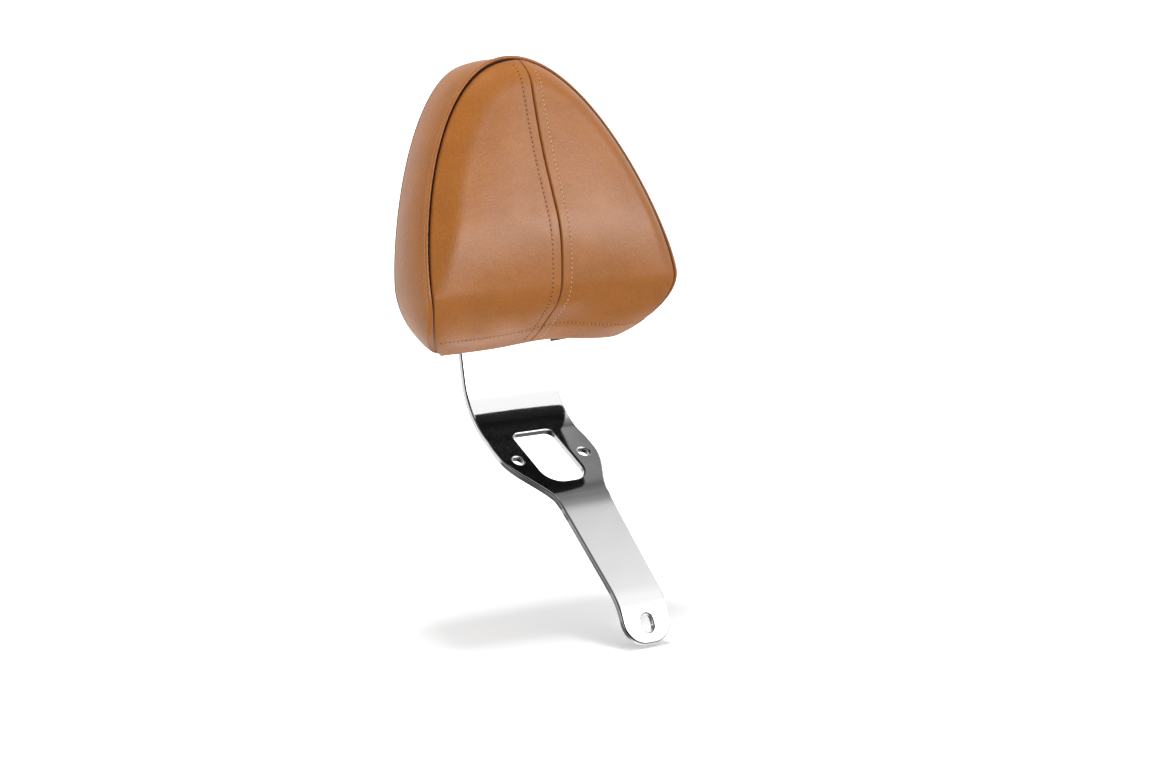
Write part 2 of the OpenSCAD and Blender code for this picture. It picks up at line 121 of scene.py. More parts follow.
def chromedSteel():
    # Steel that was polished, then plated: a mirror with the faint waves of the polishing wheel
    look = chromeLook
    material, tree, place = newMaterial("chrome plated polished steel")
    waves = addNode(tree, "TexNoise", marks(place, look["waveSize"], Detail=1.0))
    haze = addNode(tree, "TexNoise", marks(place, look["hazeSize"], Detail=4.0))
    rough = addNode(tree, "MapRange", {
        "Value": haze, "To Min": look["roughLow"], "To Max": look["roughHigh"]})
    bump = addNode(tree, "Bump", {"Height": waves, "Strength": 0.35, "Distance": look["waveHeight"] * mm})
    shader = addNode(tree, "BsdfPrincipled", {
        "Base Color": linearColor(look["tint"]), "Metallic": 1.0, "Roughness": rough, "Normal": bump})
    return finished(material, shader)


leatherLook = dict(
    base="#A86728",        # tan dye
    deep="#915622",        # painted shade deep in a seam, a dark brown
    seam="#5A2A14",        # dye and shadow deep in a seam
    grainSize=1.0,         # mm across one pebble of the fine grain
    creaseSize=6.0,        # mm across a crease
    cloudSize=28.0,        # mm across a cloud of the dye
    speckSize=1.2,         # mm across a speck of it
    grainHeight=0.3, creaseHeight=0.4,
    roughness=0.34, roughSpread=0.06, ior=1.4,
)


def tanLeather():
    # Chrome tanned cowhide with a satin finish: fine pebbles, a soft sheen, and painted shade deep in the
    # seams
    look = leatherLook
    material, tree, place = newMaterial("satin finished tan cowhide")
    grain = addNode(tree, "TexVoronoi", marks(place, look["grainSize"]), feature="SMOOTH_F1")
    creases = addNode(tree, "TexNoise", marks(place, look["creaseSize"], Detail=5.0, Roughness=0.6))
    clouds = addNode(tree, "TexNoise", marks(place, look["cloudSize"], Detail=2.0))
    specks = addNode(tree, "TexNoise", marks(place, look["speckSize"], Detail=3.0, Roughness=0.7))
    shade = addNode(tree, "Math", {0: clouds, 1: 0.45, 2: specks}, operation="MULTIPLY_ADD")
    share = addNode(tree, "MapRange", {"Value": shade, "From Min": 0.5, "From Max": 0.95})
    dyed = addNode(tree, "Mix", {
        "Factor": share, "A": linearColor(look["deep"]), "B": linearColor(look["base"])}, data_type="RGBA")
    seamShadeShare = addNode(tree, "Attribute", attribute_name="seamDepth").outputs["Fac"]
    # painted shade: the colour turns to the dark seam brown where seamDepth is 1
    color = addNode(tree, "Mix", {
        "Factor": seamShadeShare, "A": dyed, "B": linearColor(look["seam"])}, data_type="RGBA")
    tall = addNode(tree, "Bump", {"Height": creases, "Strength": 0.3, "Distance": look["creaseHeight"] * mm})
    fine = addNode(tree, "Bump", {
        "Height": grain, "Strength": 0.45, "Distance": look["grainHeight"] * mm, "Normal": tall})
    rough = addNode(tree, "MapRange", {
        "Value": creases, "To Min": look["roughness"] - look["roughSpread"],
        "To Max": look["roughness"] + look["roughSpread"]})
    shader = addNode(tree, "BsdfPrincipled", {
        "Base Color": color, "Roughness": rough, "IOR": look["ior"], "Normal": fine})
    return finished(material, shader)


def threadMaterial(name, hexText):
    # Bonded polyester sewing thread: twisted strands about 0.4 mm apart, a slight gloss
    material, tree, place = newMaterial(name)
    twist = addNode(tree, "TexWave", marks(place, 1.2, Distortion=1.5))
    bump = addNode(tree, "Bump", {"Height": twist.outputs["Fac"], "Strength": 0.4, "Distance": 0.08 * mm})
    shader = addNode(tree, "BsdfPrincipled", {
        "Base Color": linearColor(hexText), "Roughness": 0.5, "Normal": bump})
    return finished(material, shader)


def needleHoleShade():
    # A needle's hole in leather as painted shade: a flat dark dot where the hole's shadow falls
    material, tree, place = newMaterial("painted shade of a needle hole")
    shader = addNode(tree, "BsdfPrincipled", {"Base Color": linearColor("#3A1C0E"), "Roughness": 0.9})
    return finished(material, shader)


def charcoalFoam():
    # Slabstock polyurethane foam, cut with a band knife: open cells of about 1 mm
    material, tree, place = newMaterial("cut polyurethane foam")
    cells = addNode(tree, "TexVoronoi", marks(place, 1.1))
    color = addNode(tree, "Mix", {
        "Factor": cells, "A": linearColor("#08080A"), "B": linearColor("#202022")}, data_type="RGBA")
    bump = addNode(tree, "Bump", {"Height": cells, "Strength": 0.8, "Distance": 0.8 * mm})
    shader = addNode(tree, "BsdfPrincipled", {"Base Color": color, "Roughness": 0.95, "Normal": bump})
    return finished(material, shader)


def birchPlywood():
    # Birch plywood, sawn to shape: light and dark wood across the board's thickness, fibres of 2 mm
    material, tree, place = newMaterial("sawn birch plywood")
    turned = addNode(tree, "Mapping", {"Vector": place, "Rotation": (math.radians(strapLean), 0, 0)})
    plies = addNode(tree, "TexWave", marks(turned, 60, Distortion=0.4, Detail=2.0), bands_direction="Y")
    fibres = addNode(tree, "TexNoise", marks(turned, 2, Detail=4.0))
    wood = addNode(tree, "Mix", {
        "Factor": plies.outputs["Fac"], "A": linearColor("#C79A63"), "B": linearColor("#8A5E34")},
        data_type="RGBA")
    bump = addNode(tree, "Bump", {"Height": fibres, "Strength": 0.3, "Distance": 0.3 * mm})
    shader = addNode(tree, "BsdfPrincipled", {"Base Color": wood, "Roughness": 0.7, "Normal": bump})
    return finished(material, shader)


def zincSteel():
    # Steel fasteners in bright zinc: silky, with small crystals
    material, tree, place = newMaterial("zinc plated steel")
    crystals = addNode(tree, "TexVoronoi", marks(place, 1.2))
    rough = addNode(tree, "MapRange", {"Value": crystals, "To Min": 0.28, "To Max": 0.42})
    shader = addNode(tree, "BsdfPrincipled", {
        "Base Color": linearColor("#B9BCBF"), "Metallic": 1.0, "Roughness": rough})
    return finished(material, shader)


# The plate: its flat pattern carried along the bent side view

strapLean = 11.4
plate = dict(
    thick=5.0, edgeRound=1.3,
    strapWidth=80.0, strapLength=150.0, strapCorner=12.0,
    saddleSlope=61.0, armSlope=47.8, toeSlope=22.8,
    wideBend=57.0, sharpBend=12.0, toeBend=52.7,       # radii on the front face
    saddleLength=69.8, armLength=80.6, toeLength=19.0,
    earOut=1.1, earLength=21.5, earRise=12.9, neckLength=56.0,
    armWidth=44.2, toeWidth=40.2, toeCorner=17.0,
    windowWidth=35.6, windowLength=55.6, windowAbove=1.6, windowTopCorner=6.0, windowLowCorner=14.0,
    earHole=8.7, earHolePitch=57.2, earHoleDown=26.8,
    slotWidth=9.9, slotLength=13.5, slotDown=4.6,
    boltHole=6.6, boltsAcross=50.0, boltsAlong=70.0, lowBolts=52.0,
    taperSoft=8.0, easeAbove=16.0, easeBelow=18.0, armBow=1.4,
    meshStep=2.4, outlineStep=1.6, holeStep=0.8, turnSteps=5,
)


def facing(a):  # a section's direction out of its front face, as forward and up
    return np.array([np.cos(np.radians(a)), np.sin(np.radians(a))])


def along(a):  # the direction down a section
    return np.array([np.sin(np.radians(a)), -np.cos(np.radians(a))])


saddleSlope, armSlope, toeSlope = plate["saddleSlope"], plate["armSlope"], plate["toeSlope"]


def bendRun(first, last, radius):  # an arc's length, with its slopes and its signed radius
    return abs(radius) * math.radians(abs(last - first)), first, last, radius


plateRuns = [  # length, first slope, last slope, signed radius, from the strap's foot down
    bendRun(strapLean, saddleSlope, plate["wideBend"]),
    (plate["saddleLength"], saddleSlope, saddleSlope, 0),
    bendRun(saddleSlope, armSlope, -plate["sharpBend"]),
    (plate["armLength"], armSlope, armSlope, 0),
    bendRun(armSlope, toeSlope, -plate["toeBend"]),
    (plate["toeLength"] * 2, toeSlope, toeSlope, 0),
]
runStarts = np.concatenate([[0], np.cumsum([run[0] for run in plateRuns])])
saddleFrom, saddleTo, armFrom, armTo, toeFrom = runStarts[1:6]


def sideView(s):  # forward, up and slope at a distance s down the front face: lines and arcs end to end
    slope = np.full(s.shape, strapLean)
    spot = s * along(strapLean)[:, None]
    start = np.zeros(2)
    for (length, first, last, radius), begin in zip(plateRuns, runStarts):
        here = np.clip(s - begin, 0, length)
        turn = first + (last - first) * here / length
        if radius:
            run = radius * (facing(first)[:, None] - facing(turn))
            step = radius * (facing(first) - facing(last))
        else:
            run = here * along(first)[:, None]
            step = length * along(first)
        inside = s >= begin
        spot = np.where(inside, start[:, None] + run, spot)
        slope = np.where(inside, turn, slope)
        start = start + step
    return spot, slope


slotSpot, slotSlope = sideView(np.array([toeFrom + plate["slotDown"]]))
origin = (slotSpot - plate["thick"] * facing(slotSlope))[:, 0]   # the part's own, from the strap's foot


def onPlate(x, s, depth):  # a place x across, s down and depth below the front face
    spot, slope = sideView(s)
    forward, up = spot - depth * facing(slope)
    return np.stack([x, origin[0] - forward, up - origin[1]], -1)


def plateDirections(s):  # out of the front face, and down the plate
    # The polishing wheel eases the sharp bend for a little way on both sides and leaves the arm bowed by
    # a little over a degree: this turns the normals alone, so only the mirror shows it
    easeFrom, easeTo = saddleTo - plate["easeAbove"], armFrom + plate["easeBelow"]
    bow = plate["armBow"] * np.clip(2 * (s - armTo) / plate["armLength"] + 1, -1, 1)
    eased = saddleSlope + (armSlope - saddleSlope) * smoothStep((s - easeFrom) / (easeTo - easeFrom))
    slope = np.where((s > easeFrom) & (s < easeTo), eased, sideView(s)[1])
    slope = np.radians(slope - np.where((s > saddleTo) & (s < toeFrom), bow, 0))
    flat = np.zeros(s.shape)
    return (np.stack([flat, -np.cos(slope), np.sin(slope)], -1),
            np.stack([flat, -np.sin(slope), -np.cos(slope)], -1))


def neckHalf(d):  # half a cosine from the ears' width to the arm's
    wide = plate["strapWidth"] / 2 + plate["earOut"]
    share = (1 - np.cos(np.pi * np.clip(d / plate["neckLength"], 0, 1))) / 2
    return wide + (plate["armWidth"] / 2 - wide) * share


def plateHalf(s):  # half width at a distance down: strap, ears, neck, arm, toe
    ear = plate["strapWidth"] / 2 + plate["earOut"] * smoothStep((s - saddleFrom) / plate["earRise"])
    inNeck = np.where(s > saddleTo, np.maximum(saddleTo, s - (armFrom - saddleTo)), s)
    neck = neckHalf(inNeck - saddleFrom - plate["earLength"])
    taper = (plate["armWidth"] - plate["toeWidth"]) / 2 * np.clip((s - armFrom) / plate["armLength"], 0, 1)
    late = np.clip((s - armFrom) / plate["taperSoft"] - 1, 0, 1)
    return np.where(s < saddleFrom + plate["earLength"], ear, neck - taper * late)


def arcPoints(cx, cs, r, first, last, count=14):
    a = np.radians(np.linspace(first, last, count))
    return np.stack([cx + r * np.cos(a), cs + r * np.sin(a)], -1)


def evenLoop(points, step):  # the closed loop again, with points a step apart
    ring = np.concatenate([points, points[:1]])
    run = np.concatenate([[0], np.cumsum(np.linalg.norm(np.diff(ring, axis=0), axis=1))])
    at = np.linspace(0, run[-1], max(24, int(run[-1] / step)), endpoint=False)
    return np.stack([np.interp(at, run, ring[:, k]) for k in (0, 1)], -1)


def plateLoops():  # the outline and the holes, as x and distance down
    top, end = -plate["strapLength"], toeFrom + plate["toeLength"]
    half, corner = plate["strapWidth"] / 2, plate["strapCorner"]
    toeHalf, toeCorner = plate["toeWidth"] / 2, plate["toeCorner"]
    down = np.linspace(0, end - toeCorner, 400)
    right = np.concatenate([
        arcPoints(half - corner, top + corner, corner, -90, 0),
        np.stack([plateHalf(down), down], -1),
        arcPoints(toeHalf - toeCorner, end - toeCorner, toeCorner, 0, 90, 24)])
    outline = np.concatenate([right, right[::-1] * [-1, 1]])
    wide, topR, lowR = plate["windowWidth"] / 2, plate["windowTopCorner"], plate["windowLowCorner"]
    high = saddleFrom - plate["windowAbove"]
    low = high + plate["windowLength"]
    pane = np.concatenate([
        arcPoints(wide - topR, high + topR, topR, -90, 0),
        arcPoints(wide - lowR, low - lowR, lowR, 0, 90),
        arcPoints(lowR - wide, low - lowR, lowR, 90, 180),
        arcPoints(topR - wide, high + topR, topR, 180, 270)])
    slotAt, slotR = toeFrom + plate["slotDown"], plate["slotWidth"] / 2
    run = (plate["slotLength"] - plate["slotWidth"]) / 2
    slot = np.concatenate([
        arcPoints(0, slotAt + run, slotR, 0, 180), arcPoints(0, slotAt - run, slotR, 180, 360)])
    ears = [arcPoints(side * plate["earHolePitch"] / 2, saddleFrom + plate["earHoleDown"],
                      plate["earHole"] / 2, 0, 352.5, 48) for side in (-1, 1)]
    bolts = [arcPoints(side * plate["boltsAcross"] / 2, -plate["lowBolts"] - pair * plate["boltsAlong"],
                       plate["boltHole"] / 2, 0, 345, 24) for side in (-1, 1) for pair in (0, 1)]
    return [evenLoop(outline, plate["outlineStep"])] + [
        evenLoop(loop, plate["holeStep"]) for loop in [pane, slot] + ears + bolts]


def insideLoops(points, loops):  # even-odd rule: how often a ray to the right crosses the loops
    crossings = np.zeros(len(points), int)
    for loop in loops:
        a, b = loop, np.roll(loop, -1, axis=0)
        x, s = points[:, :1], points[:, 1:]
        spans = (a[:, 1] > s) != (b[:, 1] > s)
        rise = np.where(b[:, 1] == a[:, 1], 1e-9, b[:, 1] - a[:, 1])
        hit = a[:, 0] + (s - a[:, 1]) / rise * (b[:, 0] - a[:, 0])
        crossings += (spans & (x < hit)).sum(1)
    return crossings % 2 == 1


def plateSurface():
    # Both faces are the flat pattern's triangles, and each edge is a round-cornered profile carried
    # along its loop: out = r cos(p) - r, depth = r - r sin(p) at the front and mirrored at the back
    r, thick, step, turns = plate["edgeRound"], plate["thick"], plate["meshStep"], plate["turnSteps"]
    loops = plateLoops()
    outward = []
    for k, loop in enumerate(loops):
        tangent = np.roll(loop, -1, axis=0) - np.roll(loop, 1, axis=0)
        normal = np.stack([tangent[:, 1], -tangent[:, 0]], -1)
        normal /= np.linalg.norm(normal, axis=1)[:, None]
        middle = loop.mean(0)
        if ((loop - middle) * normal).sum() < 0:
            normal = -normal
        outward.append(normal if k == 0 else -normal)
    inset = [loop - r * normal for loop, normal in zip(loops, outward)]
    bottom = loops[0][:, 1].max()
    reach = plate["strapWidth"] / 2 + 2
    xs, ss = np.meshgrid(np.arange(-reach, reach + 0.1, step), np.arange(-plate["strapLength"], bottom, step))
    inner = np.stack([xs.ravel() + (np.arange(xs.size) // xs.shape[1] % 2) * step / 2, ss.ravel()], -1)
    rim = np.concatenate(inset)
    near = np.concatenate([np.linalg.norm(part[:, None] - rim[None], axis=2).min(1)
                           for part in np.array_split(inner, 12)])
    inner = inner[insideLoops(inner, inset) & (near > step * 0.5)]
    flat = np.concatenate([rim, inner])
    edges, base = [], 0
    for loop in inset:
        ring = base + np.arange(len(loop))
        edges += np.stack([ring, np.roll(ring, -1)], -1).tolist()
        base += len(loop)
    found = geometry.delaunay_2d_cdt([Vector(p) for p in flat], edges, [], 0, 1e-6)
    flat = np.array([tuple(p) for p in found[0]])
    tris = np.array(found[2])
    tris = tris[insideLoops(flat[tris].mean(1), inset)]
    a, b, c = flat[tris].transpose(1, 0, 2)
    turned = (b[:, 0] - a[:, 0]) * (c[:, 1] - a[:, 1]) - (b[:, 1] - a[:, 1]) * (c[:, 0] - a[:, 0]) > 0
    tris[turned] = tris[turned][:, ::-1]
    out, _ = plateDirections(flat[:, 1])
    points = [onPlate(flat[:, 0], flat[:, 1], 0), onPlate(flat[:, 0], flat[:, 1], thick)]
    normals = [out, -out]
    faces = [tris, tris[:, ::-1] + len(flat)]
    rows = 2 * turns
    bend = np.radians(np.concatenate([np.linspace(90, 0, turns), np.linspace(0, -90, turns)]))
    depth = np.where(np.arange(rows) < turns, r - r * np.sin(bend), thick - r - r * np.sin(bend))
    base = 2 * len(flat)
    for loop, normal in zip(loops, outward):
        n = len(loop)
        shift = (r * np.cos(bend) - r)[:, None]
        x = loop[:, 0] + shift * normal[:, 0]
        s = loop[:, 1] + shift * normal[:, 1]
        deep = np.repeat(depth[:, None], n, 1)
        front, down = plateDirections(s.ravel())
        sideways = np.tile(normal[:, 0], rows)[:, None] * np.array([[1.0, 0, 0]])
        across = sideways + np.tile(normal[:, 1], rows)[:, None] * down
        tilt = np.repeat(bend, n)[:, None]
        points.append(onPlate(x.ravel(), s.ravel(), deep.ravel()))
        normals.append(np.cos(tilt) * across + np.sin(tilt) * front)
        i = base + np.arange(rows * n).reshape(rows, n)
        j = np.roll(i, -1, axis=1)
        quads = np.stack([i[:-1], i[1:], j[1:], j[:-1]], -1).reshape(-1, 4)
        area = (loop[:, 0] * np.roll(loop[:, 1], -1) - np.roll(loop[:, 0], -1) * loop[:, 1]).sum()
        if (area > 0) == (loop is loops[0]):
            quads = quads[:, ::-1]
        faces.append(quads)
        base += rows * n
    return np.concatenate(points), faces, np.concatenate(normals)


def weld(points, faceLists, normals):  # one vertex for each place, to a hundredth of a millimetre
    keys = np.round(points * 100).astype(int)
    _, first, same = np.unique(keys, axis=0, return_index=True, return_inverse=True)
    same = same.ravel()
    faces = [face for part in faceLists for face in same[part].tolist()]
    faces = [face for face in faces if len(set(face)) == len(face)]
    return points[first], faces, normals[first]


platePoints, plateFaces, plateNormals = weld(*plateSurface())
platePiece = makePiece("mountingPlate", platePoints, plateFaces, chromedSteel(), plateNormals)
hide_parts("mounting_plate")
print("plate:", len(plateFaces), "faces")


# The pad's form, in the strap's frame: x across, t up along the strap from its foot, n out of its front

pad = dict(
    width=211.8, height=203.8, hemUp=20.4, wideUp=40.8, corner=44.0,
    seamDepth=71.2, seamFall=27.0, hemCurl=42.4, swell=18.8, hemSwell=1.5, edgeRoll=22.0,
    backDepth=12.0, backFall=5.6, backSwell=6.0, backTaper=24.0, backRise=3.0, backWideRise=9.2,
    backCornerMore=10.0, crownPower=1.34, bandPower=1.46, swellLow=0.04, swellFull=0.45,
    rollShare=0.62, rollPower=2.3, broadPower=0.9, shoulder=45.0, leather=1.6, edgeInset=1.0, edgeRound=1.3,
    curlSoft=14.0,
)
seam = dict(    # the centre seam: gap and groove, folded allowance, and run at the crown
    gap=0.3, groove=1.5, grooveWidth=1.7, allowance=8.0, layer=0.35, layerPast=1.2, layerSoft=1.4,
    pull=0.28, pullWidth=0.8, lean=8.0, leanFrom=140.0, leanOver=84.0, leanPower=1.7,
)
hem = dict(     # the turned hem: its stitch row, its layer and its slow waves
    row=9.6, curl=1.6, layer=0.45, layerPast=1.6, layerSoft=1.8, pull=0.3, pullWidth=0.8,
    wave=1.5, waveHalf=72.0, waveAt=6.0, ripple=0.55, rippleHalf=42.0, growth=0.07,
    calmFrom=8.0, calmOver=22.0,
)


def outHalf(v, d):
    return pad["width"] / 2 - pad["backTaper"] * v ** pad["bandPower"] - d


def outWide(v):
    return pad["hemUp"] + pad["wideUp"] + pad["backWideRise"] * v


def outTop(v, d):
    return pad["hemUp"] + pad["height"] + pad["backRise"] * v - d


def outCorner(v, d):
    return pad["corner"] + pad["backCornerMore"] * v - d


def outLow(v, d, cut):
    return -np.arcsin((outWide(v) - cut) / outCorner(v, d))


def outline(v, d, a):
    # Below angle 0 an arc of the corner's radius, above it x = half cos(a), t = wide + high sin(a)^power
    low = a < 0
    up = np.sin(np.maximum(a, 0)) ** pad["crownPower"]
    x = np.where(low, outHalf(v, d) - outCorner(v, d) * (1 - np.cos(a)), outHalf(v, d) * np.cos(a))
    t = np.where(low, outWide(v) + outCorner(v, d) * np.sin(a), outWide(v) + (outTop(v, d) - outWide(v)) * up)
    return x, t


def seamAt(t):  # how far the front seam stands out: a parabola in the curl, a softly started fall above
    y = t - outWide(0)
    curl = pad["hemCurl"] * (np.minimum(0, y) / pad["wideUp"]) ** 2
    soft = pad["curlSoft"]
    fall = (y + np.sqrt(y * y + soft * soft)) / 2 - soft / 4
    return pad["seamDepth"] - curl - pad["seamFall"] * fall / (pad["height"] - pad["wideUp"])


def backAt(t, d):
    y = np.maximum(0, t - outWide(1))
    return d - pad["backDepth"] + pad["backFall"] * y / (outTop(1, 0) - outWide(1))


def fromEdge(x, t, v, d):
    # inside = 1 - (x/width)^2 - (y/high)^(2/power), and inside over its slope is the distance from the edge
    half = outHalf(v, d)
    y = np.maximum(0, t - outWide(v))
    high = outTop(v, d) - outWide(v)
    low = np.minimum(0, t - outWide(v)) / outCorner(v, d)
    width = half - outCorner(v, d) * (1 - np.sqrt(np.maximum(0, 1 - low * low)))
    p = 2 / pad["crownPower"]
    inside = np.maximum(0, 1 - (x / width) ** 2 - (y / high) ** p)
    steep = np.hypot(2 * x / width ** 2, p * (y / high) ** (p - 1) / high)
    return inside, inside / np.maximum(steep, 0.001)


def swellShare(x, t, v, d):  # the edge's roll is 1 - (1 - near)^power, and the rest is a broad crown
    inside, away = fromEdge(x, t, v, d)
    near = np.minimum(1, away / pad["edgeRoll"])
    roll = 1 - (1 - near) ** pad["rollPower"]
    return pad["rollShare"] * roll + (1 - pad["rollShare"]) * inside ** pad["broadPower"]


def turnedEdge(away, r):  # how far an edge turns in: r - sqrt(r^2 - (r - away)^2), a quarter circle
    rest = np.clip(r - away, 0, r)
    return r - np.sqrt(r * r - rest * rest)


def edgeFold(x, t):  # the panel's edge turns down into the seam
    return turnedEdge(fromEdge(x, t, 0, pad["edgeInset"])[1], pad["edgeRound"])


def seamRelief(x):
    # Centre seam: each side rolls down into the groove as (1 - x/width)^2, and the folded allowance
    # beneath raises the leather to its stitch row, which is pulled down a little
    away = np.abs(x)
    groove = -seam["groove"] * np.maximum(0, 1 - away / seam["grooveWidth"]) ** 2
    raised = seam["layer"] * smoothStep((seam["allowance"] + seam["layerPast"] - away) / seam["layerSoft"])
    pulled = -seam["pull"] * np.exp(-((away - seam["allowance"]) / seam["pullWidth"]) ** 2)
    return groove + raised + pulled


def frontSurface(x, t, d=0.0):  # the front's height over the strap
    share = (t - pad["hemUp"]) / pad["height"]
    full = pad["swell"] * smoothStep((share - pad["swellLow"]) / (pad["swellFull"] - pad["swellLow"]))
    rise = full + pad["hemSwell"] * smoothStep(share / pad["swellLow"])
    return seamAt(t) - d + rise * swellShare(x, t, 0, d)


def backSurface(x, t, d=0.0):
    share = (t - pad["hemUp"]) / pad["height"]
    return backAt(t, d) - pad["backSwell"] * smoothStep(share / pad["swellFull"]) * swellShare(x, t, 1, d)


def stepAngle(w, low):
    shoulder = math.radians(pad["shoulder"])
    return np.where(w < 1, low + (shoulder - low) * w, shoulder + (math.pi / 2 - shoulder) * (w - 1))


def panelPlace(v, d, cut, gap, f, g):
    # Blends the four edges of half a panel: (1-g) foot + g top + (1-f) middle + f side, less the corners
    low = outLow(v, d, cut)
    side = np.stack(outline(v, d, stepAngle(g, low)), -1)
    top = np.stack(outline(v, d, stepAngle(2 - f, low)), -1) + np.stack([gap * (1 - f), 0 * f], -1)
    footSide = np.stack(outline(v, d, low), -1)
    corner = np.stack(outline(v, d, math.radians(pad["shoulder"])), -1)
    crown = np.array([gap, outTop(v, d)])
    foot = np.stack([gap + (footSide[0] - gap) * f, cut + 0 * f], -1)
    middle = np.stack([gap + 0 * g, cut + (crown[1] - cut) * g], -1)
    f, g = f[..., None], g[..., None]
    return ((1 - g) * foot + g * top + (1 - f) * middle + f * side - (1 - f) * (1 - g) * np.array([gap, cut])
            - f * (1 - g) * footSide - (1 - f) * g * crown - f * g * corner)


def shares(count):  # from 0 to 1, closer together at both ends
    return (1 - np.cos(np.pi * np.linspace(0, 1, count))) / 2


lean = math.radians(strapLean)


def fromPad(x, t, n):  # strap's frame to the part's frame
    forward = n * math.cos(lean) - t * math.sin(lean)
    up = n * math.sin(lean) + t * math.cos(lean)
    return np.stack([x, origin[0] - forward, up - origin[1]], -1)


def leanSeam(x, t):  # the centre seam runs off to the right at the crown, and the outline stays
    width = np.maximum(outHalf(0, 0.0) * np.sqrt(np.clip(fromEdge(0 * x, t, 0, 0.0)[0], 0.004, 1)), 1.0)
    run = seam["lean"] * np.clip((t - seam["leanFrom"]) / seam["leanOver"], 0, 1) ** seam["leanPower"]
    return x + run * np.maximum(0, 1 - (x / width) ** 2)


def hemWave(x, t):  # the hem's slow waves, stronger at its stitch row and gone 30 mm above it
    wave = hem["wave"] * np.cos(np.pi * (x - hem["waveAt"]) / hem["waveHalf"])
    wave = wave + hem["ripple"] * np.sin(np.pi * x / hem["rippleHalf"])
    up = t - pad["hemUp"]
    return wave * (1 + hem["growth"] * up) * (1 - smoothStep((up - hem["calmFrom"]) / hem["calmOver"]))


def hemRelief(t):  # the hem's turned layer raises the leather up to its stitch row
    away = t - pad["hemUp"]
    raised = hem["layer"] * smoothStep((hem["row"] + hem["layerPast"] - away) / hem["layerSoft"])
    return raised - hem["pull"] * np.exp(-((away - hem["row"]) / hem["pullWidth"]) ** 2)


def hemCurl(t):
    return turnedEdge(t - pad["hemUp"], hem["curl"])


def wholePanel(v, d, cut, cols, rows):  # x and t on half a panel's grid, with its mirror image on the left
    f, g = np.meshgrid(shares(cols), shares(rows))
    place = panelPlace(v, d, cut, 0.0, f, g)
    return (np.concatenate([-place[:, :0:-1, 0], place[..., 0]], 1),
            np.concatenate([place[:, :0:-1, 1], place[..., 1]], 1))


blockGrid = dict(cols=24, rows=36)


def padBlock(front, inset, cut, inner):
    # One side of the pad, closed: its skin, its outline on the plane n = inner, and a wall between
    x, t = wholePanel(0 if front else 1, inset, cut, **blockGrid)
    steep = np.hypot(1, seamAt(t + 0.5) - seamAt(t - 0.5))   # the inset is square to the curled front
    n = frontSurface(x, t, inset * steep) if front else backSurface(x, t, inset)
    share = np.clip((n - inner) / (n - backAt(t, inset)), 0, 1) if front else 0 * n
    narrow = 1 - pad["backTaper"] * share ** pad["bandPower"] / outHalf(0, inset)
    plane = np.stack([x * narrow, t, np.full(x.shape, inner)], -1)
    points = np.concatenate([np.stack([x, t, n], -1).reshape(-1, 3), plane.reshape(-1, 3)])
    quads = gridQuads(*x.shape)
    index = np.arange(x.size).reshape(x.shape)
    ring = np.concatenate([index[0, :-1], index[:-1, -1], index[-1, :0:-1], index[:0:-1, 0]])
    after = np.roll(ring, -1)
    wall = np.stack([ring, ring + x.size, after + x.size, after], -1)
    faces = np.concatenate([quads, quads[:, ::-1] + x.size, wall])
    return points, faces if front else faces[:, ::-1]


# The covers as cloth: held at the seams, blown up from inside, and read back as a soft rise

cover = dict(
    voxel=5.0, pressure=4.0, steps=20, smaller=2.5, cap=5.0, reach=6.0, seamHold=12.0,
    overlap=3.0, wallFree=0.5, frontFrom=25.0, backTo=1.0,   # in mm along n, but for the walls' share
)


def openShare(x, t, v, reach):  # 0 on a seam, 1 on the open leather
    away = np.minimum(fromEdge(x, t, v, 0.0)[1], t - pad["hemUp"])
    return smoothStep((np.minimum(away, np.abs(x)) if v == 0 else away) / reach)


